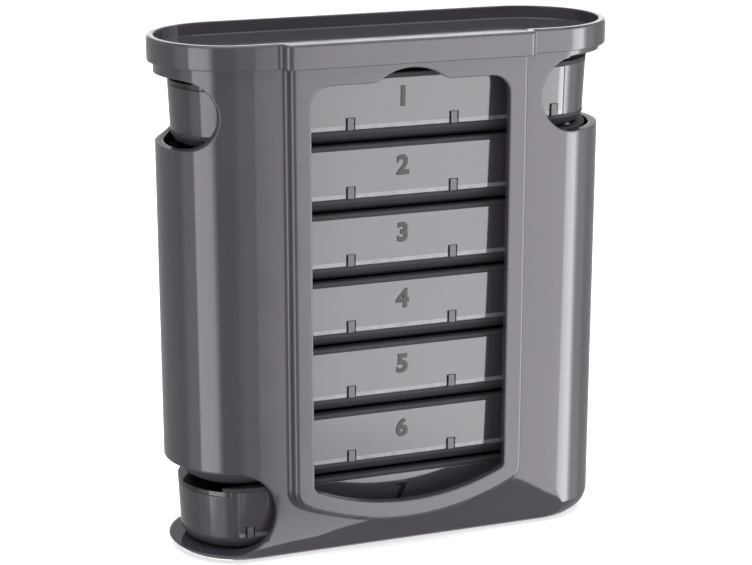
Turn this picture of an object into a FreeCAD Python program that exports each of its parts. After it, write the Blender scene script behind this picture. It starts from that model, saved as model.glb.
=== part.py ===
import FreeCAD, Part
import math
import os

import Sketcher

# Weekly pill tower: a one-piece housing, a lift-off cap and seven stacked day boxes.
# Each day box is a four-compartment tray with a clipped-in front plate and a sliding lid.
# Origin at the middle of the flat base, +Z up, +X right, front towards -Y, millimetres.

DAYS = 7
COMPARTMENTS = 4
GRIP_RIBS = 3

SIZES = {
    # housing plan: two half circles joined by straight walls
    "half_straight": 43.1,
    "body_radius": 21.2,
    "wall": 2.4,
    "floor_thick": 2.7,
    "head_room": 5.55,
    "base_round": 5.75,
    "tuck_tall": 16.0,
    "tuck_round": 60.0,
    "cavity_round": 5.5,
    # raised front panel and its rounded step
    "panel_proud": 3.3,
    "panel_rise": 3.45,
    "panel_border": 5.5,
    "panel_corner": 5.5,
    "step_round": 1.25,
    # window in the panel
    "window_half": 28.55,
    "window_head": 6.7,
    "window_sag": 66.0,
    "window_corner": 5.5,
    "window_foot": 2.0,
    "thumb_half": 10.0,
    "thumb_rise": 3.6,
    "thumb_blend": 3.0,
    # finger notches and the exit, each with its depth in from the end of the tower
    "left_notch_round": 9.6,
    "left_notch_deep": 12.3,
    "left_notch_drop": 14.6,
    "right_notch_round": 10.7,
    "right_notch_deep": 24.9,
    "right_notch_drop": 14.1,
    "exit_room": 5.65,
    "exit_deep": 25.9,
    # cap
    "cap_tall": 6.6,
    "cap_overhang": 1.6,
    "cap_gap": 0.25,
    "cap_rim": 1.9,
    "cap_skirt": 1.8,
    "cap_recess": 3.6,
    "cap_step_round": 1.9,
    "cap_step_root": 1.2,
    "cap_edge": 0.4,
    "spigot_deep": 2.6,
    "spigot_thick": 1.2,
    "spigot_gap": 0.3,
    # day boxes
    "pitch": 19.0,
    "stack_gap": 0.2,
    "rest_gap": 0.25,
    "tray_gap": 1.25,
    "tray_draft": 0.75,
    "tray_wall": 2.65,
    "tray_round": 3.8,
    "tray_floor": 1.3,
    "cell_bevel": 1.8,
    "divider": 1.2,
    # sliding lid and the groove it runs in
    "lid_thick": 1.3,
    "lid_play": 0.1,
    "groove_deep": 0.8,
    "groove_roof": 1.1,
    "grip_tall": 0.6,
    "grip_wide": 1.0,
    "grip_half": 6.0,
    "grip_pitch": 2.5,
    "grip_inset": 12.0,
    # front plate with its snap lugs
    "plate_wrap": 4.9,
    "plate_low": 3.8,
    "plate_top_land": 1.3,
    "plate_thick": 0.9,
    "plate_play": 0.05,
    "lug_inset": 3.0,
    "lug_wide": 1.8,
    "lug_tall": 3.3,
    "lug_proud": 0.3,
    "lug_slit": 0.45,
}

CLEAR = 40.0  # how far an open profile runs out past the end of the tower
PAST_WALL = 1.0  # how far a cut runs past the face it starts from
NEAR = 1e-3  # two lengths this close are the same

# two flats touch a quarter circle of radius 1 at 30 and 60 degrees, this far from its corner
FLAT_FOOT = math.tan(math.pi / 12)
# legs of the three flats that touch it at 22.5, 45 and 67.5 degrees
FIRST_CUT = 2 - math.sqrt(2)
SECOND_CUT = math.tan(math.pi / 8) - math.tan(math.pi / 16)


class Size:
    """A length with its number and the sheet expression that it comes from."""

    def __init__(self, number, text):
        self.number = number
        self.text = text

    def __add__(self, other):
        other = as_size(other)
        return Size(self.number + other.number, "(%s + %s)" % (self.text, other.text))

    def __sub__(self, other):
        other = as_size(other)
        return Size(self.number - other.number, "(%s - %s)" % (self.text, other.text))

    def __mul__(self, other):
        other = as_size(other)
        return Size(self.number * other.number, "(%s * %s)" % (self.text, other.text))

    def __truediv__(self, other):
        other = as_size(other)
        return Size(self.number / other.number, "(%s / %s)" % (self.text, other.text))


def as_size(item):
    if isinstance(item, Size):
        return item
    return Size(float(item), repr(float(item)))


def size(alias):
    return Size(SIZES[alias], "Sizes." + alias)


doc = FreeCAD.newDocument("PillTower")
sheet = doc.addObject("Spreadsheet::Sheet", "Sizes")
for row, (alias, number) in enumerate(SIZES.items(), 1):
    sheet.set("A%d" % row, alias)
    sheet.set("B%d" % row, str(number))
    sheet.setAlias("B%d" % row, alias)
doc.recompute()


# ---------------------------------------------------------------- helpers

def point(x, y):
    return FreeCAD.Vector(x, y, 0)


def new_body(label):
    body = doc.addObject("PartDesign::Body", label)
    body.Label = label
    return body


def new_sketch(body, name, role, offset=0):
    """A sketch on one of the body's own origin planes, moved along the plane's normal."""
    sketch = body.newObject("Sketcher::SketchObject", name)
    plane = next(item for item in body.Origin.OriginFeatures if item.Role == role)
    sketch.AttachmentSupport = (plane, [""])
    sketch.MapMode = "FlatFace"
    bind(sketch, "AttachmentOffset.Base.z", offset)
    return sketch


def bind(item, path, amount):
    item.setExpression(path, as_size(amount).text)


def settle(feature):
    """Recomputes, and stops at once if the feature failed."""
    doc.recompute()
    if "Invalid" in feature.State or "Error" in feature.State or feature.Shape.isNull():
        raise RuntimeError("%s did not build: %s" % (feature.Name, feature.State))


def line(sketch, start, end):
    return sketch.addGeometry(Part.LineSegment(point(*start), point(*end)))


def arc(sketch, centre, radius, start, end):
    """An arc that runs anticlockwise between two angles in degrees."""
    circle = Part.Circle(point(*centre), FreeCAD.Vector(0, 0, 1), radius)
    return sketch.addGeometry(Part.ArcOfCircle(circle, math.radians(start), math.radians(end)))


def fix(sketch, kind, *args):
    """One constraint; a Size at the end of it is bound to the sheet."""
    if args and isinstance(args[-1], Size):
        index = sketch.addConstraint(Sketcher.Constraint(kind, *args[:-1], args[-1].number))
        sketch.setExpression("Constraints[%d]" % index, args[-1].text)
    else:
        sketch.addConstraint(Sketcher.Constraint(kind, *args))


def chain(sketch, items, kinds):
    """Joins each item's end to the next one's start, all the way round."""
    for index, kind in enumerate(kinds):
        following = items[(index + 1) % len(items)]
        fix(sketch, kind, items[index], 2, following, 1)


def place(sketch, item, where, x=None, y=None):
    """Puts one point of an item at signed distances from the sketch's origin."""
    for kind, amount in (("DistanceX", x), ("DistanceY", y)):
        if amount is not None:
            fix(sketch, kind, -1, 1, item, where, as_size(amount))


def stadium(sketch, half, radius):
    """Two half circles joined by straight sides along the sketch's x axis."""
    h, r = half.number, radius.number
    low = line(sketch, (-h, -r), (h, -r))
    right = arc(sketch, (h, 0), r, -90, 90)
    high = line(sketch, (h, r), (-h, r))
    left = arc(sketch, (-h, 0), r, 90, 270)
    chain(sketch, (low, right, high, left), ("Tangent",) * 4)
    fix(sketch, "Horizontal", low)
    fix(sketch, "Symmetric", left, 3, right, 3, -1, 1)
    fix(sketch, "PointOnObject", right, 3, -1)
    fix(sketch, "DistanceX", -1, 1, right, 3, half)
    fix(sketch, "Radius", right, radius)


def rectangle(sketch, x_low, x_high, y_low, y_high):
    """An upright rectangle between four signed distances from the origin."""
    x_low, x_high, y_low, y_high = (as_size(item) for item in (x_low, x_high, y_low, y_high))
    a, b, c, d = x_low.number, x_high.number, y_low.number, y_high.number
    low = line(sketch, (a, c), (b, c))
    right = line(sketch, (b, c), (b, d))
    high = line(sketch, (b, d), (a, d))
    left = line(sketch, (a, d), (a, c))
    chain(sketch, (low, right, high, left), ("Coincident",) * 4)
    for item in (low, high):
        fix(sketch, "Horizontal", item)
    for item in (right, left):
        fix(sketch, "Vertical", item)
    place(sketch, low, 1, x_low, y_low)
    place(sketch, high, 1, x_high, y_high)


def side_slot(sketch, centre, mid, radius, reach):
    """A slot with one round end, that runs off past the piece to the signed reach."""
    x, m, r, e = centre.number, mid.number, radius.number, reach.number
    if e < x:
        low = line(sketch, (e, m - r), (x, m - r))
        nose = arc(sketch, (x, m), r, -90, 90)
        high = line(sketch, (x, m + r), (e, m + r))
        back = line(sketch, (e, m + r), (e, m - r))
    else:
        low = line(sketch, (e, m + r), (x, m + r))
        nose = arc(sketch, (x, m), r, 90, 270)
        high = line(sketch, (x, m - r), (e, m - r))
        back = line(sketch, (e, m - r), (e, m + r))
    chain(sketch, (low, nose, high, back), ("Tangent", "Tangent", "Coincident", "Coincident"))
    fix(sketch, "Horizontal", low)
    fix(sketch, "Horizontal", high)
    fix(sketch, "Vertical", back)
    place(sketch, nose, 3, centre, mid)
    fix(sketch, "Radius", nose, radius)
    place(sketch, back, 1, x=reach)


def solved(sketch):
    """Stops if a sketch has a free, doubled or impossible size."""
    doc.recompute()
    if sketch.solve() != 0 or not sketch.FullyConstrained:
        raise RuntimeError("%s is not fully and singly sized" % sketch.Name)


def pad(body, sketch, length, reverse=False):
    solved(sketch)
    feature = body.newObject("PartDesign::Pad", sketch.Name + "_pad")
    feature.Profile = sketch
    bind(feature, "Length", length)
    feature.Reversed = reverse
    settle(feature)
    return feature


def pocket(body, sketch, length, both_ways=False, reverse=False):
    """Cuts the profile away against the sketch's normal, and makes sure it cut something."""
    solved(sketch)
    before = body.Shape.Volume
    feature = body.newObject("PartDesign::Pocket", sketch.Name + "_cut")
    feature.Profile = sketch
    if both_ways:
        feature.Midplane = True
    bind(feature, "Length", length)
    feature.Reversed = reverse
    settle(feature)
    if body.Shape.Volume >= before:
        raise RuntimeError(sketch.Name + " cuts nothing")
    return feature


def dress(body, kind, name, path, amount, wanted):
    """Rounds or bevels every edge of the body so far for which wanted(edge) is true."""
    base = body.Tip
    names = ["Edge%d" % (i + 1) for i, edge in enumerate(base.Shape.Edges) if wanted(edge)]
    feature = body.newObject(kind, name)
    feature.Base = (base, names)
    bind(feature, path, amount)
    settle(feature)
    return feature


def ruled_loft(body, kind, name, sections):
    """Straight walls from each section to the next; it adds or cuts as its kind says."""
    feature = body.newObject(kind, name)
    feature.Profile = sections[0]
    feature.Sections = sections[1:]
    feature.Ruled = True
    settle(feature)


def fillet(body, name, radius, wanted):
    return dress(body, "PartDesign::Fillet", name, "Radius", radius, wanted)


def chamfer(body, name, leg, wanted):
    return dress(body, "PartDesign::Chamfer", name, "Size", leg, wanted)


def flat_round(body, name, radius, level):
    """Three flats that follow a quarter circle up from the edges at one level."""
    low, high = level.number - NEAR, (level + radius).number
    chamfer(body, name + "_middle", radius * FIRST_CUT, lambda edge: level_at(edge, level))
    chamfer(body, name + "_sides", radius * SECOND_CUT,
            lambda edge: edge.BoundBox.ZLength < NEAR and low < edge.BoundBox.ZMax < high)


def near(value, target):
    return abs(value - as_size(target).number) < NEAR


def level_at(edge, height):
    """True for an edge that lies flat at one height."""
    box = edge.BoundBox
    return near(box.ZMin, height) and near(box.ZMax, height)


def lies_at(edge, depth):
    """True for an edge that lies in one upright plane across the depth."""
    box = edge.BoundBox
    return near(box.YMin, depth) and near(box.YMax, depth)


# ---------------------------------------------------------------- shared places

HALF = size("half_straight")
BODY = size("body_radius")
WALL = size("wall")
PROUD = size("panel_proud")
CAVITY = BODY - WALL
END = HALF + BODY

# the stack stands on the floor and sets the height of the tower
STACK_LOW = size("floor_thick") + size("rest_gap")
BOX_TALL = size("pitch") - size("stack_gap")
TALL = STACK_LOW + size("pitch") * (DAYS - 1) + BOX_TALL + size("head_room")

PANEL_HALF = size("window_half") + size("panel_border")
PANEL_LOW = size("base_round") + size("panel_rise")
WINDOW_LOW = PANEL_LOW + size("panel_border")
WINDOW_HIGH = TALL - size("window_head")
EXIT_ROUND = (size("rest_gap") + BOX_TALL + size("exit_room")) / 2

TRAY = CAVITY - size("tray_gap")
TRAY_FOOT = TRAY - size("tray_draft")
DRAFT = size("tray_draft") / BOX_TALL
CELL = TRAY - size("tray_wall")
GROOVE = CELL + size("groove_deep")
GROOVE_HIGH = BOX_TALL - size("groove_roof")
GROOVE_LOW = GROOVE_HIGH - size("lid_thick") - size("lid_play") * 2
PLATE_HIGH = BOX_TALL - size("plate_top_land")
PLATE_HALF = HALF + size("plate_wrap")
CELL_PITCH = (PLATE_HALF - size("lug_inset")) * 2 / (COMPARTMENTS - 1)


# ---------------------------------------------------------------- housing

def arch_panel(sketch, half, low, high, sag, corner):
    """Straight sides and top, with a foot that bows downwards between two rounded corners."""
    h, c, r = half.number, corner.number, sag.number
    foot_y = low.number + r
    corner_x = h - c
    corner_y = foot_y - math.sqrt((r - c) ** 2 - corner_x ** 2)
    turn = math.degrees(math.atan2(corner_y - foot_y, corner_x))
    right = line(sketch, (h, corner_y), (h, high.number))
    top = line(sketch, (h, high.number), (-h, high.number))
    left = line(sketch, (-h, high.number), (-h, corner_y))
    left_corner = arc(sketch, (-corner_x, corner_y), c, 180, 180 - turn)
    foot = arc(sketch, (0, foot_y), r, 180 - turn, 360 + turn)
    right_corner = arc(sketch, (corner_x, corner_y), c, turn, 0)
    items = (right, top, left, left_corner, foot, right_corner)
    chain(sketch, items, ("Coincident", "Coincident", "Tangent", "Tangent", "Tangent", "Tangent"))
    for item in (right, left):
        fix(sketch, "Vertical", item)
    fix(sketch, "Equal", left_corner, right_corner)
    fix(sketch, "PointOnObject", foot, 3, -2)
    fix(sketch, "Symmetric", top, 1, top, 2, -2)
    place(sketch, top, 1, half, high)
    fix(sketch, "Radius", right_corner, corner)
    fix(sketch, "Radius", foot, sag)
    place(sketch, foot, 3, y=low + sag)


def make_housing():
    body = new_body("housing")
    front = BODY + PROUD

    plan = new_sketch(body, "housing_plan", "XY_Plane")
    stadium(plan, HALF, BODY)
    pad(body, plan, TALL)
    cavity = new_sketch(body, "cavity_plan", "XY_Plane", TALL)
    stadium(cavity, HALF, CAVITY)
    pocket(body, cavity, TALL - size("floor_thick"))
    flat_round(body, "cavity_rounding", size("cavity_round"), size("floor_thick"))
    fillet(body, "base_rounding", size("base_round"), lambda edge: level_at(edge, 0))
    tuck(body, "front_tuck", -1)
    tuck(body, "rear_tuck", 1)

    panel = new_sketch(body, "panel_outline", "XZ_Plane", BODY - WALL / 2)
    border = size("panel_border")
    arch_panel(panel, PANEL_HALF, PANEL_LOW, TALL,
               size("window_sag") + border, size("panel_corner"))
    pad(body, panel, WALL / 2 + PROUD)
    fillet(body, "panel_edge", size("step_round"),
           lambda edge: lies_at(edge, front * -1) and not level_at(edge, TALL))
    fillet(body, "panel_root", size("step_round"), meets_panel)

    hollow = new_sketch(body, "panel_hollow", "XZ_Plane", front - WALL)
    arch_panel(hollow, PANEL_HALF - WALL, PANEL_LOW + WALL, TALL,
               size("window_sag") + border - WALL, size("panel_corner") - WALL)
    pocket(body, hollow, PROUD + WALL)

    window = new_sketch(body, "window", "XZ_Plane", front)
    arch_panel(window, size("window_half"), WINDOW_LOW, WINDOW_HIGH,
               size("window_sag"), size("window_foot"))
    pocket(body, window, WALL)
    fillet(body, "window_shoulders", size("window_corner"),
           lambda edge: crosses_panel_at(edge, size("window_half"), WINDOW_HIGH))

    thumb = new_sketch(body, "thumb_relief", "XZ_Plane", front)
    half, rise = size("thumb_half"), size("thumb_rise")
    thumb_round = (half * half + rise * rise) / (rise * 2)
    circle = Part.Circle(point(0, WINDOW_HIGH.number), FreeCAD.Vector(0, 0, 1),
                         thumb_round.number)
    ring = thumb.addGeometry(circle)
    fix(thumb, "Radius", ring, thumb_round)
    place(thumb, ring, 3, 0, WINDOW_HIGH + rise - thumb_round)
    pocket(body, thumb, WALL)
    fillet(body, "thumb_shoulders", size("thumb_blend"),
           lambda edge: crosses_panel_at(edge, half, WINDOW_HIGH))

    notch(body, "left_notch", TALL - size("left_notch_drop"), size("left_notch_round"),
          size("left_notch_deep"), -1)
    notch(body, "right_notch", TALL - size("right_notch_drop"), size("right_notch_round"),
          size("right_notch_deep"), 1)
    notch(body, "exit", size("floor_thick") + EXIT_ROUND, EXIT_ROUND, size("exit_deep"), -1)
    return body


def tuck(body, name, sign):
    """Draws the foot of the front or rear wall gently in along a large arc."""
    sketch = new_sketch(body, name, "YZ_Plane")
    radius, top, low = size("tuck_round"), size("tuck_tall"), as_size(-PAST_WALL)
    outer, centre = (BODY + PAST_WALL) * sign, (BODY - radius) * sign
    swing = math.degrees(math.asin((top - low).number / radius.number))
    turn = (180, 180 + swing) if sign < 0 else (-swing, 0)
    drawn_in = centre.number + radius.number * math.cos(math.radians(swing)) * sign
    ends = ((BODY * sign).number, top), (drawn_in, low)
    (start, first), (end, last) = ends if sign < 0 else reversed(ends)
    enter = line(sketch, (outer.number, first.number), (start, first.number))
    curve = arc(sketch, (centre.number, top.number), radius.number, *turn)
    leave = line(sketch, (end, last.number), (outer.number, last.number))
    back = line(sketch, (outer.number, last.number), (outer.number, first.number))
    chain(sketch, (enter, curve, leave, back), ("Coincident",) * 4)
    fix(sketch, "Horizontal", enter)
    fix(sketch, "Horizontal", leave)
    fix(sketch, "Vertical", back)
    place(sketch, curve, 3, centre, top)
    fix(sketch, "Radius", curve, radius)
    place(sketch, enter, 1, outer, first)
    place(sketch, leave, 2, y=last)
    pocket(body, sketch, (END + CLEAR) * 2, both_ways=True)


def meets_panel(edge):
    """True for an edge where the raised panel's side and foot rise from the wall."""
    box = edge.BoundBox
    drawn_in = size("tuck_round").number - math.sqrt(
        size("tuck_round").number ** 2 - (size("tuck_tall") - PANEL_LOW).number ** 2)
    wall = BODY.number * -1
    return (wall - NEAR < box.YMin and box.YMax < wall + drawn_in + NEAR
            and box.ZMin > PANEL_LOW.number - NEAR and not level_at(edge, TALL)
            and not level_at(edge, size("tuck_tall"))
            and abs(edge.CenterOfMass.x) < PANEL_HALF.number + NEAR)


def crosses_panel_at(edge, side, height):
    """True for an edge straight through the panel's wall at one corner of an opening."""
    box = edge.BoundBox
    return (near(box.YLength, WALL) and near(edge.CenterOfMass.z, height)
            and near(abs(edge.CenterOfMass.x), side))


def notch(body, name, mid, radius, deep, sign):
    """A slot through front and rear walls, open at one end of the tower."""
    sketch = new_sketch(body, name, "XZ_Plane")
    side_slot(sketch, (END - deep + radius) * sign, mid, radius, (END + CLEAR) * sign)
    pocket(body, sketch, (BODY + PROUD) * 2, both_ways=True)


# ---------------------------------------------------------------- cap

def tower_outline(sketch, grow, step_round, step_root):
    """The housing's plan with its raised panel, grown outwards; y is the front's depth."""
    radius, side, front = BODY + grow, PANEL_HALF + grow, BODY + PROUD + grow
    h, r, s, f = HALF.number, radius.number, side.number, front.number
    c, q = step_round.number, step_root.number
    items = (
        line(sketch, (h, r), (-h, r)),
        arc(sketch, (-h, 0), r, 90, 270),
        line(sketch, (-h, -r), (-s - q, -r)),
        arc(sketch, (-s - q, -r - q), q, 0, 90),
        line(sketch, (-s, -r - q), (-s, -f + c)),
        arc(sketch, (-s + c, -f + c), c, 180, 270),
        line(sketch, (-s + c, -f), (s - c, -f)),
        arc(sketch, (s - c, -f + c), c, 270, 360),
        line(sketch, (s, -f + c), (s, -r - q)),
        arc(sketch, (s + q, -r - q), q, 90, 180),
        line(sketch, (s + q, -r), (h, -r)),
        arc(sketch, (h, 0), r, -90, 90),
    )
    ends = ((0, 2, 1, 1), (1, 2, 2, 1), (2, 2, 3, 2), (3, 1, 4, 1), (4, 2, 5, 1), (5, 2, 6, 1),
            (6, 2, 7, 1), (7, 2, 8, 1), (8, 2, 9, 2), (9, 1, 10, 1), (10, 2, 11, 1), (11, 2, 0, 1))
    for first, first_end, second, second_end in ends:
        fix(sketch, "Tangent", items[first], first_end, items[second], second_end)
    for index in (2, 6, 10):
        fix(sketch, "Horizontal", items[index])
    for index in (4, 8):
        fix(sketch, "Vertical", items[index])
    fix(sketch, "PointOnObject", items[11], 3, -1)
    fix(sketch, "Symmetric", items[1], 3, items[11], 3, -1, 1)
    fix(sketch, "DistanceX", -1, 1, items[11], 3, HALF)
    fix(sketch, "Radius", items[11], radius)
    fix(sketch, "Equal", items[1], items[11])
    place(sketch, items[6], 1, y=front * -1)
    place(sketch, items[4], 1, x=side * -1)
    place(sketch, items[8], 1, x=side)
    fix(sketch, "Radius", items[5], step_round)
    fix(sketch, "Equal", items[5], items[7])
    fix(sketch, "Radius", items[3], step_root)
    fix(sketch, "Equal", items[3], items[9])


def make_cap():
    body = new_body("cap")
    foot = TALL - size("cap_skirt")
    top = foot + size("cap_tall")
    overhang = size("cap_overhang")

    outline = new_sketch(body, "cap_outline", "XY_Plane", foot)
    tower_outline(outline, overhang, size("cap_step_round"), size("cap_step_root"))
    pad(body, outline, size("cap_tall"))
    chamfer(body, "cap_edges", size("cap_edge"), lambda edge: level_at(edge, top))

    recess = new_sketch(body, "cap_recess_outline", "XY_Plane", top)
    inset = overhang - size("cap_rim")
    tower_outline(recess, inset, size("cap_step_root"), size("cap_step_round"))
    pocket(body, recess, size("cap_recess"))

    skirt = new_sketch(body, "cap_skirt_outline", "XY_Plane", foot)
    gap = size("cap_gap")
    tower_outline(skirt, gap, size("step_round") + gap, size("step_round") - gap)
    pocket(body, skirt, size("cap_skirt"), reverse=True)

    spigot = new_sketch(body, "cap_spigot", "XY_Plane", TALL)
    stadium(spigot, HALF, CAVITY - size("spigot_gap"))
    stadium(spigot, HALF, CAVITY - size("spigot_gap") - size("spigot_thick"))
    pad(body, spigot, size("spigot_deep"), reverse=True)
    return body


# ---------------------------------------------------------------- day box

def tray_radius_at(height):
    return TRAY_FOOT + DRAFT * height


def groove_outline(sketch, radius):
    """Round at the right end, and open past the left end where the lid slides out."""
    side_slot(sketch, HALF, as_size(0), radius, (END + CLEAR) * -1)


def end_cell(sketch, near_side, radius, sign):
    """A compartment with one straight wall and one round one."""
    h, r, n = HALF.number, radius.number, near_side.number
    if sign > 0:
        items = (line(sketch, (n, -r), (h, -r)), arc(sketch, (h, 0), r, -90, 90),
                 line(sketch, (h, r), (n, r)), line(sketch, (n, r), (n, -r)))
    else:
        items = (line(sketch, (-n, r), (-h, r)), arc(sketch, (-h, 0), r, 90, 270),
                 line(sketch, (-h, -r), (-n, -r)), line(sketch, (-n, -r), (-n, r)))
    chain(sketch, items, ("Tangent", "Tangent", "Coincident", "Coincident"))
    fix(sketch, "Horizontal", items[0])
    fix(sketch, "Horizontal", items[2])
    fix(sketch, "Vertical", items[3])
    place(sketch, items[1], 3, HALF * sign, 0)
    fix(sketch, "Radius", items[1], radius)
    place(sketch, items[3], 1, x=near_side * sign)


def front_band(sketch, inner, outer, end):
    """A strip that follows the box's front and bends a little round both ends."""
    h, e = HALF.number, end.number
    reach = e - h

    def turn(radius):
        return math.degrees(math.asin(reach / radius))

    i, o = inner.number, outer.number
    outer_left = arc(sketch, (-h, 0), o, 270 - turn(o), 270)
    outer_line = line(sketch, (-h, -o), (h, -o))
    outer_right = arc(sketch, (h, 0), o, 270, 270 + turn(o))
    drop_i, drop_o = math.sqrt(i * i - reach * reach), math.sqrt(o * o - reach * reach)
    right_end = line(sketch, (e, -drop_o), (e, -drop_i))
    inner_right = arc(sketch, (h, 0), i, 270, 270 + turn(i))
    inner_line = line(sketch, (h, -i), (-h, -i))
    inner_left = arc(sketch, (-h, 0), i, 270 - turn(i), 270)
    left_end = line(sketch, (-e, -drop_i), (-e, -drop_o))
    joints = (("Tangent", outer_left, 2, outer_line, 1), ("Tangent", outer_line, 2, outer_right, 1),
              ("Coincident", outer_right, 2, right_end, 1), ("Coincident", right_end, 2, inner_right, 2),
              ("Tangent", inner_right, 1, inner_line, 1), ("Tangent", inner_line, 2, inner_left, 2),
              ("Coincident", inner_left, 1, left_end, 1), ("Coincident", left_end, 2, outer_left, 1))
    for joint in joints:
        fix(sketch, *joint)
    fix(sketch, "Horizontal", outer_line)
    fix(sketch, "Horizontal", inner_line)
    fix(sketch, "Vertical", right_end)
    fix(sketch, "Vertical", left_end)
    place(sketch, outer_right, 3, HALF, 0)
    place(sketch, outer_left, 3, HALF * -1, 0)
    fix(sketch, "Coincident", inner_right, 3, outer_right, 3)
    fix(sketch, "Coincident", inner_left, 3, outer_left, 3)
    fix(sketch, "Radius", outer_right, outer)
    fix(sketch, "Radius", inner_right, inner)
    place(sketch, right_end, 1, x=end)
    place(sketch, left_end, 1, x=end * -1)


def band_loft(body, kind, low, high, depth, grow, end):
    """The front strip between two heights, following the tray's drafted wall."""
    sections = []
    for name, height in (("low", low), ("high", high)):
        section = new_sketch(body, "%s_band_%s" % (body.Name, name), "XY_Plane", height)
        front_band(section, tray_radius_at(height) - depth, tray_radius_at(height) + grow, end)
        solved(section)
        sections.append(section)
    ruled_loft(body, kind, body.Name + "_band", sections)


def lift_to_level(body, level):
    bind(body, "Placement.Base.z", STACK_LOW + size("pitch") * level)


def make_tray(label, level):
    body = new_body(label)
    # the drafted outside, with two flats that follow a quarter circle round the foot
    foot = size("tray_round")
    sections = []
    for index, (height, inset) in enumerate((
            (as_size(0), foot * (1 - FLAT_FOOT)), (foot * FLAT_FOOT, foot * FLAT_FOOT),
            (foot * (1 - FLAT_FOOT), as_size(0)), (BOX_TALL, as_size(0)))):
        section = new_sketch(body, "%s_section_%d" % (label, index), "XY_Plane", height)
        stadium(section, HALF, tray_radius_at(height) - inset)
        solved(section)
        sections.append(section)
    ruled_loft(body, "PartDesign::AdditiveLoft", label + "_blank", sections)

    mouth = new_sketch(body, label + "_mouth", "XY_Plane", BOX_TALL)
    groove_outline(mouth, CELL)
    pocket(body, mouth, BOX_TALL - GROOVE_LOW)
    groove = new_sketch(body, label + "_groove", "XY_Plane", GROOVE_HIGH)
    groove_outline(groove, GROOVE)
    pocket(body, groove, GROOVE_HIGH - GROOVE_LOW)

    cells = new_sketch(body, label + "_cells", "XY_Plane", GROOVE_LOW)
    half_wall = size("divider") / 2
    inner_cells = COMPARTMENTS - 2
    for index in range(inner_cells):
        start = CELL_PITCH * (index - inner_cells / 2)
        rectangle(cells, start + half_wall, start + CELL_PITCH - half_wall, CELL * -1, CELL)
    for sign in (-1, 1):
        end_cell(cells, CELL_PITCH * (inner_cells / 2) + half_wall, CELL, sign)
    pocket(body, cells, GROOVE_LOW - size("tray_floor"))
    chamfer(body, label + "_scoops", size("cell_bevel"),
            lambda edge: level_at(edge, size("tray_floor")))

    play = size("plate_play")
    band_loft(body, "PartDesign::SubtractiveLoft", size("plate_low"), PLATE_HIGH,
              size("plate_thick") + play, PAST_WALL, PLATE_HALF + play)
    lift_to_level(body, level)
    return body


def make_front(label, level):
    body = new_body(label)
    play = size("plate_play")
    low, high = size("plate_low") + play, PLATE_HIGH - play
    band_loft(body, "PartDesign::AdditiveLoft", low, high, size("plate_thick"), 0, PLATE_HALF)
    lug_front = tray_radius_at(low + size("lug_tall")) + size("lug_proud")
    lugs = new_sketch(body, label + "_lugs", "XZ_Plane", lug_front)
    slits = new_sketch(body, label + "_slits", "XZ_Plane", lug_front)
    half_lug = size("lug_wide") / 2
    for index in range(COMPARTMENTS):
        middle = CELL_PITCH * (index - (COMPARTMENTS - 1) / 2)
        left, right = middle - half_lug, middle + half_lug
        high_lug = low + size("lug_tall")
        rectangle(lugs, left, right, low, high_lug)
        rectangle(slits, left - size("lug_slit"), left, low - PAST_WALL, high_lug)
        rectangle(slits, right, right + size("lug_slit"), low - PAST_WALL, high_lug)
    pocket(body, slits, size("lug_proud") + size("plate_thick") + PAST_WALL)
    pad(body, lugs, size("lug_proud") + size("plate_thick") / 2, reverse=True)
    lift_to_level(body, level)
    return body


def make_lid(label, level):
    body = new_body(label)
    play = size("lid_play")
    under = GROOVE_LOW + play
    blank = new_sketch(body, label + "_plan", "XY_Plane", under)
    groove_outline(blank, GROOVE - play)
    pad(body, blank, size("lid_thick"))
    # the left end is rounded to the tray's own outline
    trim = new_sketch(body, label + "_end", "XY_Plane", under)
    left_end_trim(trim, tray_radius_at(under))
    pocket(body, trim, size("lid_thick"), reverse=True)
    grip = new_sketch(body, label + "_grip", "XY_Plane", under + size("lid_thick"))
    start = (HALF + TRAY_FOOT - size("grip_inset")) * -1
    half_rib = size("grip_wide") / 2
    for index in range(GRIP_RIBS):
        middle = start + size("grip_pitch") * index
        rectangle(grip, middle - half_rib, middle + half_rib,
                  size("grip_half") * -1, size("grip_half"))
    pad(body, grip, size("grip_tall"))
    lift_to_level(body, level)
    return body


def left_end_trim(sketch, radius):
    """Everything left of the tray's round left end."""
    h, r = HALF.number, radius.number
    far = END + CLEAR + PAST_WALL
    e = far.number
    out_low = line(sketch, (-h, -r), (-e, -r))
    back = line(sketch, (-e, -r), (-e, r))
    out_high = line(sketch, (-e, r), (-h, r))
    nose = arc(sketch, (-h, 0), r, 90, 270)
    chain(sketch, (out_low, back, out_high, nose),
          ("Coincident", "Coincident", "Coincident", "Coincident"))
    fix(sketch, "Horizontal", out_low)
    fix(sketch, "Horizontal", out_high)
    fix(sketch, "Vertical", back)
    place(sketch, nose, 3, HALF * -1, 0)
    fix(sketch, "Radius", nose, radius)
    fix(sketch, "Vertical", nose, 1, nose, 2)
    fix(sketch, "Vertical", nose, 1, nose, 3)
    place(sketch, back, 1, x=far * -1)


# ---------------------------------------------------------------- build, check, write

pieces = [make_housing(), make_cap()]
for day in range(1, DAYS + 1):
    level = DAYS - day
    pieces.append(make_tray("day_%d_tray" % day, level))
    pieces.append(make_front("day_%d_front" % day, level))
    pieces.append(make_lid("day_%d_lid" % day, level))
doc.recompute()

for item in doc.Objects:
    if "Invalid" in item.State or "Error" in item.State:
        raise RuntimeError("%s did not build: %s" % (item.Name, item.State))
for piece in pieces:
    if piece.Shape.isNull() or not piece.Shape.isValid() or len(piece.Shape.Solids) != 1:
        raise RuntimeError("%s is not one valid solid" % piece.Label)

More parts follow.
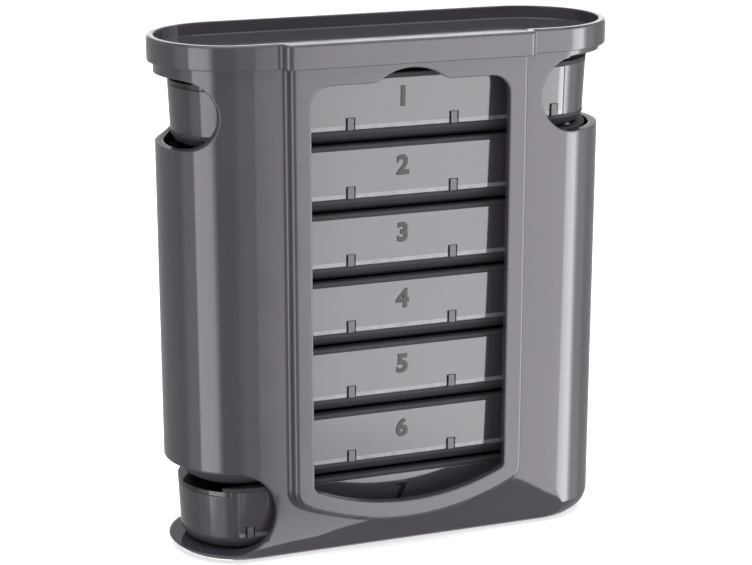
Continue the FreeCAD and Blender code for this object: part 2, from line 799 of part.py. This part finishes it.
os.makedirs("parts", exist_ok=True)
for piece in pieces:
    piece.Shape.exportStep("parts/%s.step" % piece.Label)
    box = piece.Shape.BoundBox
    print("%-12s %9.1f mm3  x %.2f %.2f  y %.2f %.2f  z %.2f %.2f" % (
        piece.Label, piece.Shape.Volume, box.XMin, box.XMax, box.YMin, box.YMax, box.ZMin, box.ZMax))
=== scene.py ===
import math

import bpy
from mathutils import Matrix, Vector


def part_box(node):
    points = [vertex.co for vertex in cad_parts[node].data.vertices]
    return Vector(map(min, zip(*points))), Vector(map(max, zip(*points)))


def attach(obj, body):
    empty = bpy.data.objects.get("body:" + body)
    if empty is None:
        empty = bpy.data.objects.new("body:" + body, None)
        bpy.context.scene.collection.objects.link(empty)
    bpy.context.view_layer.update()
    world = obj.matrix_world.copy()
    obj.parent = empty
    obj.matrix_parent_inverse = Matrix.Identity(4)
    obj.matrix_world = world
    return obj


bl_info = {
    "name": "Weekly Pill Tower",
    "version": (1, 0, 0),
    "blender": (4, 5, 0),
    "location": "3D View > Sidebar > Pill Tower",
    "description": "Moulded finishes, day numbers and a studio for a weekly pill tower",
    "category": "Object",
}

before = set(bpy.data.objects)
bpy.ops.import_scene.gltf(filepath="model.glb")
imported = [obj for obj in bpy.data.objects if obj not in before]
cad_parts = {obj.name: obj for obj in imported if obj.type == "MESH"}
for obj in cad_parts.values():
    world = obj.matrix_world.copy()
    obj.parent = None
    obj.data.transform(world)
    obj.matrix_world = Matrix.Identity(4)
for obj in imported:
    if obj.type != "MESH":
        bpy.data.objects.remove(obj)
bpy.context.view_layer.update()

MM = 0.001
DAYS = range(1, 8)
TRAYS = ["day_%d_tray" % day for day in DAYS]
FRONTS = ["day_%d_front" % day for day in DAYS]
LIDS = ["day_%d_lid" % day for day in DAYS]

# The boxes repeat upwards by the pitch; the plate's edges are measured from a box's underside.
STACK_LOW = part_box("day_7_tray")[0][2]
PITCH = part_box("day_6_tray")[0][2] - STACK_LOW
PLATE_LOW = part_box("day_7_front")[0][2] - STACK_LOW
PLATE_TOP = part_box("day_7_front")[1][2] - STACK_LOW
PLATE_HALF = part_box("day_7_front")[1][0]

# Four lugs stand evenly spaced along a plate's foot, the outer ones inset from its ends.
LUG_HALF = 0.9 * MM
LUG_TALL = 3.3 * MM
LUG_INSET = 3.0 * MM
LUG_REACH = PLATE_HALF - LUG_INSET
LUG_SPACINGS = 3

# Shared by the glossy plastics; the sheen is the tint of their reflections.
PLASTIC_IOR = 1.58
SHEEN = (0.985, 0.955, 1.0, 1.0)
BEVEL_SAMPLES = 6

# Most values of a noise lie between the first two; a mask is soft by the third on each side of its edge.
NOISE_LOW, NOISE_HIGH = 0.3, 0.7
MASK_SOFT = 0.08 * MM


# ---------------------------------------------------------------- settings

class HousingFinish(bpy.types.PropertyGroup):
    """High-gloss anthracite of the housing, the cap and the trays."""

    colour: bpy.props.FloatVectorProperty(
        name="Colour", description="Colour of the plastic itself", subtype="COLOR",
        size=3, min=0.0, max=1.0, default=(0.058, 0.050, 0.065))
    roughness: bpy.props.FloatProperty(
        name="Roughness", description="Blur of the polished mould's reflections",
        subtype="FACTOR", min=0.02, max=0.6, default=0.085)
    ripple: bpy.props.FloatProperty(
        name="Ripple", description="Height of the slow waves that cooling leaves in the walls",
        unit="LENGTH", min=0.0, max=0.0002, precision=6, default=0.00001)
    edge_round: bpy.props.FloatProperty(
        name="Edge rounding", description="Radius that the light sees on each moulded edge",
        unit="LENGTH", min=0.0, max=0.002, precision=5, default=0.0007)


class FrontFinish(bpy.types.PropertyGroup):
    """Dark glossy plate that carries the day's number."""

    colour: bpy.props.FloatVectorProperty(
        name="Colour", description="Colour of the plates", subtype="COLOR",
        size=3, min=0.0, max=1.0, default=(0.060, 0.051, 0.066))
    roughness: bpy.props.FloatProperty(
        name="Roughness", description="Blur of the plates' reflections",
        subtype="FACTOR", min=0.02, max=0.6, default=0.07)
    # The foot colour and height make a painted highlight: a paler line along the plate's lower edge.
    foot_colour: bpy.props.FloatVectorProperty(
        name="Foot", description="Paler colour that the light takes along a plate's lower edge",
        subtype="COLOR", size=3, min=0.0, max=1.0, default=(0.24, 0.23, 0.25))
    foot_tall: bpy.props.FloatProperty(
        name="Foot height", description="Height of the paler lower edge",
        unit="LENGTH", min=0.0, max=0.004, precision=5, default=0.0012)


class LidFinish(bpy.types.PropertyGroup):
    """Smoky clear lid that slides over the four compartments."""

    tint: bpy.props.FloatVectorProperty(
        name="Tint", description="Colour that the clear plastic gives to what lies behind",
        subtype="COLOR", size=3, min=0.0, max=1.0, default=(0.16, 0.16, 0.17))
    roughness: bpy.props.FloatProperty(
        name="Roughness", description="Haze of the clear plastic",
        subtype="FACTOR", min=0.0, max=0.5, default=0.05)


class NumberPrint(bpy.types.PropertyGroup):
    """Printed day numbers, one on each front plate."""

    height: bpy.props.FloatProperty(
        name="Height", description="Height of a printed figure",
        unit="LENGTH", min=0.003, max=0.012, precision=4, default=0.0057)
    boldness: bpy.props.FloatProperty(
        name="Boldness", description="How far each stroke is widened, as a share of the type size",
        subtype="FACTOR", min=0.01, max=0.1, default=0.048)
    ink_thick: bpy.props.FloatProperty(
        name="Ink", description="Thickness of the ink film",
        unit="LENGTH", min=0.00001, max=0.0002, precision=6, default=0.00005)
    centre_up: bpy.props.FloatProperty(
        name="Centre", description="Height of the figure's centre above the box's underside",
        unit="LENGTH", min=0.006, max=0.016, precision=4, default=0.0123)
    colour: bpy.props.FloatVectorProperty(
        name="Colour", description="Colour of the ink", subtype="COLOR",
        size=3, min=0.0, max=1.0, default=(0.012, 0.011, 0.013))


class Studio(bpy.types.PropertyGroup):
    """Camera, and the strength and distance of the lights."""

    eye: bpy.props.FloatVectorProperty(
        name="Camera", description="Place of the camera", subtype="TRANSLATION",
        size=3, unit="LENGTH", default=(-0.19407, -0.53105, 0.23335))
    tilt: bpy.props.FloatProperty(
        name="Tilt", description="How far the camera looks down",
        subtype="ANGLE", default=math.radians(15.92))
    turn: bpy.props.FloatProperty(
        name="Turn", description="How far the camera is turned to the right",
        subtype="ANGLE", default=math.radians(19.93))
    lens: bpy.props.FloatProperty(
        name="Lens", description="Focal length on a 36 mm wide frame",
        subtype="DISTANCE_CAMERA", min=10.0, max=300.0, default=98.55)
    surround: bpy.props.FloatProperty(
        name="Surround", description="Strength of the even light from all round",
        min=0.0, max=2.0, default=0.65)
    light_distance: bpy.props.FloatProperty(
        name="Light distance", description="Distance of the upright lights from the tower",
        unit="LENGTH", min=0.5, max=5.0, default=3.0)


# ---------------------------------------------------------------- finish helpers

class Tree:
    """A node tree that is emptied and built up node by node."""

    def __init__(self, tree):
        self.tree = tree
        self.tree.nodes.clear()

    def join(self, output, target):
        self.tree.links.new(output, target)

    def plug(self, value, target):
        """Links an output to the input, or writes a plain value on it."""
        if isinstance(value, bpy.types.NodeSocket):
            self.join(value, target)
        else:
            target.default_value = value

    def node(self, kind, **settings):
        node = self.tree.nodes.new(kind)
        for key, value in settings.items():
            setattr(node, key, value)
        return node

    def feed(self, node, **inputs):
        """Sets or links inputs by name, with underscores for spaces."""
        for key, value in inputs.items():
            self.plug(value, node.inputs[key.replace("_", " ")])
        return node

    def spread(self, value, low, high, start=NOISE_LOW, end=NOISE_HIGH):
        """Carries the range from start to end, where most of a noise lies, over to low and high."""
        node = self.node("ShaderNodeMapRange")
        self.feed(node, Value=value, From_Min=start, From_Max=end, To_Min=low, To_Max=high)
        return node.outputs["Result"]

    def math(self, operation, *values):
        node = self.node("ShaderNodeMath", operation=operation)
        for value, target in zip(values, node.inputs):
            self.plug(value, target)
        return node.outputs[0]

    def choose(self, factor, first, second):
        """The second shader where the factor is one, the first where it is nought."""
        node = self.node("ShaderNodeMixShader")
        for value, target in zip((factor, first, second), node.inputs):
            self.join(value, target)
        return node.outputs[0]


class Finish(Tree):
    """A material with a Principled shader."""

    def __init__(self, name):
        self.material = bpy.data.materials.new(name)
        self.material.use_nodes = True
        super().__init__(self.material.node_tree)
        self.output = self.node("ShaderNodeOutputMaterial")
        self.shader = self.node("ShaderNodeBsdfPrincipled")
        self.join(self.shader.outputs[0], self.output.inputs["Surface"])
        self.place = self.node("ShaderNodeTexCoord").outputs["Object"]

    def noise(self, feature, detail=3.0, rough=0.5):
        """Cloudy noise whose features are about this long."""
        node = self.feed(self.node("ShaderNodeTexNoise"), Vector=self.place, Scale=1.0 / feature,
                         Detail=detail, Roughness=rough)
        return node.outputs[0]

    def above(self, value, edge):
        """One where the value is past the edge, nought before it."""
        return self.spread(value, 0.0, 1.0, edge - MASK_SOFT, edge + MASK_SOFT)

    def below(self, value, edge):
        return self.math("SUBTRACT", 1.0, self.above(value, edge))

    def in_box(self):
        """Sideways place, and height above the underside of the box that the point belongs to."""
        split = self.node("ShaderNodeSeparateXYZ")
        self.join(self.place, split.inputs[0])
        risen = self.math("SUBTRACT", split.outputs["Z"], STACK_LOW)
        return split.outputs["X"], self.math("FLOORED_MODULO", risen, PITCH)

    def mix(self, factor, first, second):
        """Mixes two colours, which a Mix node takes on its inputs 6 and 7 and gives on its output 2."""
        node = self.node("ShaderNodeMix", data_type="RGBA")
        for socket, value in ((0, factor), (6, first), (7, second)):
            self.plug(value, node.inputs[socket])
        return node.outputs[2]

    def mottled(self, noise, colour, darkest, lightest):
        """The colour, wandering with the noise between two shares of itself."""
        return self.mix(self.spread(noise, 0.0, 1.0), shade(colour, darkest), shade(colour, lightest))

    def smeared(self, feature, roughness, least, most):
        """The roughness, wandering between two shares of itself as on a handled gloss."""
        smears = self.noise(feature, detail=4.0, rough=0.6)
        return self.spread(smears, roughness * least, roughness * most)

    def rounded(self, radius):
        """The surface's direction, with its edges rounded by this radius."""
        bevel = self.node("ShaderNodeBevel", samples=BEVEL_SAMPLES)
        return self.feed(bevel, Radius=radius).outputs["Normal"]

    def bump(self, height, distance, normal=None):
        node = self.feed(self.node("ShaderNodeBump"), Height=height, Distance=distance, Strength=1.0)
        if normal is not None:
            self.join(normal, node.inputs["Normal"])
        return node.outputs["Normal"]


def shade(colour, factor=1.0):
    """The colour with its channels times the factor, and full alpha."""
    return tuple(min(channel * factor, 1.0) for channel in colour) + (1.0,)


def dress(names, material):
    """Gives each CAD node the material through its object's slots."""
    for name in names:
        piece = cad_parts[name]
        if not piece.material_slots:
            raise RuntimeError(name + " has no material slot")
        for slot in piece.material_slots:
            slot.link = "OBJECT"
            slot.material = material


def moulded_gloss(name, look, darken=1.0):
    """Dark glossy moulding: faint flow clouds, fine grain, slow ripple, and every rounded edge a little
    lighter.

    Gives the finish, its colour and its roughness.
    """
    light_grain, grain_share, edge_lightness = 1.3, 0.25, 1.5
    f = Finish(name)
    colour = shade(look.colour, darken)[:3]
    clouded = f.mottled(f.noise(45 * MM, detail=2.0), colour, darkest=0.93, lightest=1.08)
    grain = f.noise(0.9 * MM, detail=2.0)
    grained = f.mix(f.spread(grain, 0.0, grain_share), clouded, shade(colour, light_grain))
    soft = f.rounded(look.edge_round)
    # Every rounded edge, hollow ones too, is lightened to a share above the colour.
    bent = f.node("ShaderNodeVectorMath", operation="DOT_PRODUCT")
    f.join(soft, bent.inputs[0])
    f.join(f.node("ShaderNodeNewGeometry").outputs["Normal"], bent.inputs[1])
    edge = f.spread(bent.outputs["Value"], 1.0, 0.0, start=0.80, end=0.995)
    edge_lightened = f.mix(edge, grained, shade(colour, edge_lightness))
    rough = f.smeared(12 * MM, look.roughness, least=0.8, most=1.25)
    rippled = f.bump(f.noise(28 * MM, detail=1.0), look.ripple, soft)
    f.feed(f.shader, Base_Color=edge_lightened, Roughness=rough, IOR=PLASTIC_IOR, Specular_Tint=SHEEN,
           Normal=f.bump(grain, 0.001 * MM, rippled))
    return f, edge_lightened, rough


# ---------------------------------------------------------------- pieces

class PILLTOWER_OT_housing(bpy.types.Operator):
    """Gives the housing and the cap their anthracite gloss"""

    bl_idname = "pilltower.housing"
    bl_label = "Housing and cap"

    def execute(self, context):
        finish, _, _ = moulded_gloss("anthracite_gloss", context.scene.pill_housing)
        dress(["housing", "cap"], finish.material)
        return {"FINISHED"}


class PILLTOWER_OT_trays(bpy.types.Operator):
    """Gives the seven trays the housing's plastic, with a matt land along the rim and the foot that is
    darkened as painted shade
    """

    bl_idname = "pilltower.trays"
    bl_label = "Trays"

    def execute(self, context):
        look = context.scene.pill_housing
        polished, matt, highest_sum, painted_shade_share = 0.04, 0.7, 1.1, 0.6
        f, gloss, rough = moulded_gloss("tray_gloss", look, darken=0.9)
        _, height = f.in_box()
        # The lands are matt and also darkened to a share of the plastic's colour, as painted shade.
        matt_shaded_land = f.math("ADD", f.above(height, PLATE_TOP), f.below(height, PLATE_LOW))
        f.feed(f.shader, Base_Color=f.mix(matt_shaded_land, gloss, shade(look.colour, painted_shade_share)),
               Roughness=f.spread(f.math("ADD", rough, matt_shaded_land), polished, matt, polished, highest_sum))
        dress(TRAYS, f.material)
        return {"FINISHED"}


class PILLTOWER_OT_fronts(bpy.types.Operator):
    """Gives the seven front plates their dark gloss, a pale line along the foot as a painted highlight, and
    matt lugs
    """

    bl_idname = "pilltower.fronts"
    bl_label = "Front plates"

    def execute(self, context):
        look = context.scene.pill_front
        faintest_highlight, lug_share, lug_matt = 0.55, 1.1, 0.35
        f = Finish("plate_gloss")
        base = f.mottled(f.noise(20 * MM), look.colour, darkest=0.96, lightest=1.05)
        aside, height = f.in_box()
        # Painted highlight: a pale, streaky line along the plate's foot.
        highlight_streaks = f.spread(f.noise(2.5 * MM), faintest_highlight, 1.0)
        foot = f.math("MULTIPLY", f.below(height, PLATE_LOW + look.foot_tall), highlight_streaks)
        base = f.mix(foot, base, shade(look.foot_colour))
        from_lug = f.math("PINGPONG", f.math("ADD", aside, LUG_REACH), LUG_REACH / LUG_SPACINGS)
        lug = f.math("MULTIPLY", f.below(from_lug, LUG_HALF), f.below(height, PLATE_LOW + LUG_TALL))
        base = f.mix(lug, base, shade(look.colour, lug_share))
        polish = f.smeared(7 * MM, look.roughness, least=0.8, most=1.3)
        f.feed(f.shader, Base_Color=base, IOR=PLASTIC_IOR, Specular_Tint=SHEEN,
               Coat_Weight=0.6, Coat_Roughness=look.roughness,
               Roughness=f.math("ADD", polish, f.math("MULTIPLY", lug, lug_matt)),
               Normal=f.bump(f.noise(18 * MM, detail=1.0), 0.004 * MM, f.rounded(0.25 * MM)))
        dress(FRONTS, f.material)
        return {"FINISHED"}


class PILLTOWER_OT_lids(bpy.types.Operator):
    """Gives the seven sliding lids their smoky clear plastic"""

    bl_idname = "pilltower.lids"
    bl_label = "Lids"

    def execute(self, context):
        look = context.scene.pill_lid
        f = Finish("clear_lid")
        f.feed(f.shader, Base_Color=shade(look.tint), IOR=1.57, Transmission_Weight=0.94,
               Roughness=f.smeared(9 * MM, look.roughness, least=0.7, most=1.5),
               Normal=f.bump(f.noise(20 * MM, detail=1.0), 0.004 * MM))
        dress(LIDS, f.material)
        return {"FINISHED"}


def plate_face(name):
    """The plate's slanted front: a point at its foot, the way up it and the way out of it."""
    forward, sideways, near_middle = -0.99, 0.001, 40 * MM
    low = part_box(name)[0]
    flat = [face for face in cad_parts[name].data.polygons
            if face.normal.y < forward and abs(face.normal.x) < sideways and abs(face.center.x) < near_middle]
    widest = max(flat, key=lambda face: face.area)
    out = widest.normal.normalized()
    up = Vector((0.0, -out.z, out.y)).normalized()
    if up.z < 0.0:
        up.negate()
    depth = widest.center.dot(out) / out.y
    foot = Vector((0.0, depth - low[2] * out.z / out.y, low[2]))
    return foot, up, out


def bold_figure(context, name, text, boldness):
    """The figures as a mesh, at type size 1, with each stroke widened and thickened by the boldness."""
    figure = bpy.data.curves.new(name, "FONT")
    figure.body = text
    figure.size = 1.0
    figure.bevel_depth = boldness
    figure.bevel_resolution = 1
    figure.resolution_u = 8
    drawn = bpy.data.objects.new(name + "_outline", figure)
    context.collection.objects.link(drawn)
    context.view_layer.update()
    mesh = bpy.data.meshes.new_from_object(drawn.evaluated_get(context.evaluated_depsgraph_get()))
    bpy.data.objects.remove(drawn)
    bpy.data.curves.remove(figure)
    mesh.name = name
    return mesh


class PILLTOWER_OT_numbers(bpy.types.Operator):
    """Prints the day's number on each front plate"""

    bl_idname = "pilltower.numbers"
    bl_label = "Day numbers"

    def ink(self, look):
        f = Finish("number_ink")
        mottle = f.noise(0.6 * MM, rough=0.6)
        base = f.mottled(mottle, look.colour, darkest=0.9, lightest=1.15)
        f.feed(f.shader, Base_Color=base, IOR=1.5, Roughness=f.spread(mottle, low=0.20, high=0.30),
               Normal=f.bump(mottle, 0.003 * MM))
        return f.material

    def execute(self, context):
        look = context.scene.pill_print
        raised_share = 0.3
        ink = self.ink(look)
        for day in DAYS:
            name = "number_%d" % day
            foot, up, out = plate_face("day_%d_front" % day)
            mesh = bold_figure(context, name, str(day), look.boldness)
            xs = [v.co.x for v in mesh.vertices]
            ys = [v.co.y for v in mesh.vertices]
            middle = Vector(((max(xs) + min(xs)) / 2, (max(ys) + min(ys)) / 2, 0.0))
            scale = look.height / (max(ys) - min(ys))
            flatten = look.ink_thick / (2 * look.boldness)
            sized = Matrix.Diagonal((scale, scale, flatten, 1.0))
            turn = Matrix((up.cross(out), up, out)).transposed().to_4x4()
            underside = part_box("day_%d_tray" % day)[0][2]
            rise = (look.centre_up - (foot.z - underside)) / up.z
            spot = foot + up * rise + out * look.ink_thick * raised_share
            mesh.transform(Matrix.Translation(spot) @ turn @ sized @ Matrix.Translation(-middle))
            mesh.materials.append(ink)
            piece = bpy.data.objects.new(name, mesh)
            context.collection.objects.link(piece)
            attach(piece, "box_%d" % day)
        return {"FINISHED"}


# ---------------------------------------------------------------- studio

# The upright lights' angles are in degrees, as seen from the tower's axis at this height: the turn is
# nought at the front and positive to the right, the rise is positive upwards.
LIT_MIDDLE_UP = 0.07
CARD_TOP, CARD_STEP, CARD_BOTTOM = 5.0, -21.5, -46.0
LEFT_STEP, WRAP_TOP, REAR_TOP = -23.5, 24.0, -8.0

# Name, lower and upper edge, and pairs of turn and radiance between which the glow runs evenly
LIGHT_CARDS = (
    ("front_card", CARD_STEP, CARD_TOP, (
        (-14.0, 0.6), (-5.0, 0.95), (13.0, 1.0), (15.7, 1.15), (16.0, 1.7), (16.3, 2.5), (17.0, 3.9),
        (24.3, 4.6), (49.0, 4.6))),
    ("low_card", CARD_BOTTOM, CARD_STEP, (
        (-14.0, 0.6), (15.7, 1.0), (16.0, 1.5), (16.3, 2.1), (17.0, 3.1), (20.0, 3.3), (24.3, 4.6),
        (49.0, 4.6))),
    ("right_strip", CARD_BOTTOM, CARD_TOP, (
        (49.0, 7.5), (58.0, 9.0), (66.0, 9.3), (71.9, 4.5))),
    ("right_wrap", CARD_BOTTOM, WRAP_TOP, (
        (72.0, 3.2), (74.5, 3.2), (76.5, 1.9), (88.0, 1.5), (100.0, 0.7), (125.0, 0.45))),
    ("left_strip", LEFT_STEP, CARD_TOP, (
        (-100.0, 0.7), (-90.0, 1.2), (-75.2, 1.3), (-75.0, 4.4), (-55.0, 4.2), (-48.0, 3.8),
        (-45.0, 2.2), (-40.0, 0.7))),
    ("low_left_strip", CARD_BOTTOM, LEFT_STEP, (
        (-100.0, 0.7), (-75.2, 1.0), (-75.0, 1.5), (-48.0, 1.5), (-40.0, 0.7))),
    ("rear_card", CARD_BOTTOM, REAR_TOP, (
        (140.0, 0.7), (150.0, 2.0), (166.0, 4.0), (172.0, 4.2), (172.5, 0.9), (178.0, 0.7))),
)

# Name, radiance and corners in millimetres of the dim cards on the floor, which only reflections see: they
# put painted shadow into the reflections, one darkening the drawn-in foot, the other the plate in the exit.
FLOOR_CARDS = (
    ("foot_shade_card", 0.7, (
        (-50.0, -15.0), (-50.0, -22.5), (-31.0, -25.7), (-24.0, -26.4), (-15.0, -29.5), (9.0, -36.5),
        (25.0, -42.5), (40.0, -51.0), (49.4, -57.0), (49.8, -42.0), (50.8, -34.5), (52.9, -29.0),
        (61.5, -26.2), (66.0, -15.0))),
    ("exit_shade_card", 0.3, (
        (-57.0, -27.0), (-38.2, -27.0), (-34.6, -35.0), (-22.6, -69.0), (-44.0, -69.0))),
)
FLOOR_CARD_UP = 0.1 * MM

FLOOR_HALF = 4.0
FLOOR_COLOUR = (0.86, 0.86, 0.86, 1.0)
FLOOR_SEEN = 0.62
WHITE = (1.0, 1.0, 1.0, 1.0)


class PILLTOWER_OT_studio(bpy.types.Operator):
    """Sets the pale floor, the soft lights and the camera"""

    bl_idname = "pilltower.studio"
    bl_label = "Studio"

    def sky(self, context, look):
        """Even light from all round that the camera, also through the lids, sees as white."""
        world = bpy.data.worlds.new("studio")
        context.scene.world = world
        world.use_nodes = True
        t = Tree(world.node_tree)
        path = t.node("ShaderNodeLightPath")
        seen = t.math("MAXIMUM", path.outputs["Is Camera Ray"], path.outputs["Is Transmission Ray"])
        even = t.feed(t.node("ShaderNodeBackground"), Strength=look.surround)
        white = t.feed(t.node("ShaderNodeBackground"), Color=WHITE)
        out = t.node("ShaderNodeOutputWorld")
        t.join(t.choose(seen, even.outputs[0], white.outputs[0]), out.inputs["Surface"])

    def floor(self, context):
        """A pale floor, lifted towards white for the camera alone and left out of reflections."""
        f = Finish("pale_floor")
        f.feed(f.shader, Base_Color=FLOOR_COLOUR, Roughness=0.8)
        glow = f.feed(f.node("ShaderNodeEmission"), Strength=FLOOR_SEEN)
        dark = f.feed(f.node("ShaderNodeEmission"), Strength=0.0)
        path = f.node("ShaderNodeLightPath")
        lifted = f.node("ShaderNodeAddShader")
        f.join(f.shader.outputs[0], lifted.inputs[0])
        f.join(f.choose(path.outputs["Is Camera Ray"], dark.outputs[0], glow.outputs[0]), lifted.inputs[1])
        f.join(lifted.outputs[0], f.output.inputs["Surface"])
        mesh = bpy.data.meshes.new("floor")
        corners = [(x * FLOOR_HALF, y * FLOOR_HALF, 0.0) for x, y in ((-1, -1), (1, -1), (1, 1), (-1, 1))]
        mesh.from_pydata(corners, [], [(0, 1, 2, 3)])
        mesh.materials.append(f.material)
        floor = bpy.data.objects.new("floor", mesh)
        floor.visible_glossy = False
        context.collection.objects.link(floor)

    def around(self, context, turn, rise):
        """The point at the lights' distance that is seen at this turn and rise."""
        distance = context.scene.pill_studio.light_distance
        angle = math.radians(turn)
        up = LIT_MIDDLE_UP + distance * math.tan(math.radians(rise))
        return Vector((distance * math.sin(angle), -distance * math.cos(angle), up))

    def card(self, context, name, corners):
        """A flat card that the camera doesn't see; gives the card, its node tree and its emission."""
        mesh = bpy.data.meshes.new(name)
        mesh.from_pydata(corners, [], [tuple(range(len(corners)))])
        glow = bpy.data.materials.new(name + "_glow")
        glow.use_nodes = True
        t = Tree(glow.node_tree)
        light = t.node("ShaderNodeEmission")
        t.join(light.outputs[0], t.node("ShaderNodeOutputMaterial").inputs["Surface"])
        mesh.materials.append(glow)
        card = bpy.data.objects.new(name, mesh)
        card.visible_camera = False
        context.collection.objects.link(card)
        return card, t, light

    def light_card(self, context, name, low, high, levels):
        """An upright card whose glow changes with the turn."""
        first, last = levels[0][0], levels[-1][0]
        edges = ((first, low), (last, low), (last, high), (first, high))
        _, t, light = self.card(context, name, [self.around(context, *edge) for edge in edges])
        split = t.node("ShaderNodeSeparateXYZ")
        t.join(t.node("ShaderNodeTexCoord").outputs["Object"], split.inputs[0])
        forward = t.math("MULTIPLY", split.outputs["Y"], -1.0)
        turned = t.math("ARCTAN2", split.outputs["X"], forward)
        ramp = t.node("ShaderNodeValToRGB")
        peak = max(level for _, level in levels)
        stops = ramp.color_ramp.elements
        while len(stops) < len(levels):
            stops.new(0.5)
        for stop, (turn, level) in zip(stops, levels):
            stop.position = (turn - first) / (last - first)
            stop.color = (level / peak, level / peak, level / peak, 1.0)
        t.join(t.spread(turned, 0.0, 1.0, math.radians(first), math.radians(last)), ramp.inputs[0])
        t.feed(light, Strength=peak, Color=ramp.outputs[0])

    def floor_card(self, context, name, radiance, corners):
        """A dim card lying on the floor that only reflections see, putting painted shade into them."""
        card, t, light = self.card(context, name, [(x * MM, y * MM, FLOOR_CARD_UP) for x, y in corners])
        t.feed(light, Strength=radiance)
        card.visible_diffuse = False
        card.visible_shadow = False
        card.visible_transmission = False

    def soft_box(self, context, name, wide, tall, radiance):
        """An area lamp that the camera doesn't see and that shines down until it is turned."""
        lamp = bpy.data.lights.new(name, "AREA")
        lamp.shape = "RECTANGLE"
        lamp.size = wide
        lamp.size_y = tall
        lamp.energy = radiance * math.pi * wide * tall
        piece = bpy.data.objects.new(name, lamp)
        piece.visible_camera = False
        context.collection.objects.link(piece)
        return piece

    def back_box(self, context):
        """An upright soft box behind the tower, which the cap's floor mirrors."""
        turn, spread, low, high, radiance = 160.0, 60.0, 3.0, 11.3, 1.3
        foot = self.around(context, turn, low)
        head = self.around(context, turn, high)
        wide = 2 * context.scene.pill_studio.light_distance * math.tan(math.radians(spread) / 2)
        box = self.soft_box(context, "back_box", wide, head.z - foot.z, radiance)
        box.location = (foot + head) / 2
        box.rotation_euler = (math.pi / 2, 0.0, math.radians(turn))

    def camera(self, context, look):
        lens = bpy.data.cameras.new("camera")
        lens.sensor_fit = "HORIZONTAL"
        lens.sensor_width = 36.0
        lens.lens = look.lens
        camera = bpy.data.objects.new("camera", lens)
        camera.location = look.eye
        camera.rotation_euler = (math.pi / 2 - look.tilt, 0.0, -look.turn)
        context.collection.objects.link(camera)
        context.scene.camera = camera

    def execute(self, context):
        look = context.scene.pill_studio
        self.sky(context, look)
        self.floor(context)
        for light in LIGHT_CARDS:
            self.light_card(context, *light)
        for dim in FLOOR_CARDS:
            self.floor_card(context, *dim)
        self.back_box(context)
        top = self.soft_box(context, "top_box", wide=2.4, tall=2.0, radiance=2.5)
        top.location = (0.0, -0.3, 2.2)
        self.camera(context, look)
        context.scene.view_settings.view_transform = "Standard"
        return {"FINISHED"}


# ---------------------------------------------------------------- add-on

GROUPS = (
    ("pill_housing", HousingFinish, ("pilltower.housing", "pilltower.trays")),
    ("pill_front", FrontFinish, ("pilltower.fronts",)),
    ("pill_lid", LidFinish, ("pilltower.lids",)),
    ("pill_print", NumberPrint, ("pilltower.numbers",)),
    ("pill_studio", Studio, ("pilltower.studio",)),
)


class PILLTOWER_PT_sidebar(bpy.types.Panel):
    """Sizes, colours and steps of the pill tower"""

    bl_idname = "PILLTOWER_PT_sidebar"
    bl_label = "Pill Tower"
    bl_space_type = "VIEW_3D"
    bl_region_type = "UI"
    bl_category = "Pill Tower"

    def draw(self, context):
        for attribute, group, steps in GROUPS:
            box = self.layout.box()
            for key in group.__annotations__:
                box.prop(getattr(context.scene, attribute), key)
            for step in steps:
                box.operator(step)


CLASSES = (
    HousingFinish, FrontFinish, LidFinish, NumberPrint, Studio,
    PILLTOWER_OT_housing, PILLTOWER_OT_trays, PILLTOWER_OT_fronts, PILLTOWER_OT_lids,
    PILLTOWER_OT_numbers, PILLTOWER_OT_studio, PILLTOWER_PT_sidebar,
)


def register():
    for item in CLASSES:
        bpy.utils.register_class(item)
    for attribute, group, _ in GROUPS:
        setattr(bpy.types.Scene, attribute, bpy.props.PointerProperty(type=group))


def unregister():
    for attribute, _, _ in GROUPS:
        delattr(bpy.types.Scene, attribute)
    for item in reversed(CLASSES):
        bpy.utils.unregister_class(item)


def main():
    register()
    bpy.ops.pilltower.housing()
    bpy.ops.pilltower.trays()
    bpy.ops.pilltower.fronts()
    bpy.ops.pilltower.lids()
    bpy.ops.pilltower.numbers()
    bpy.ops.pilltower.studio()


if __name__ == "__main__":
    main()
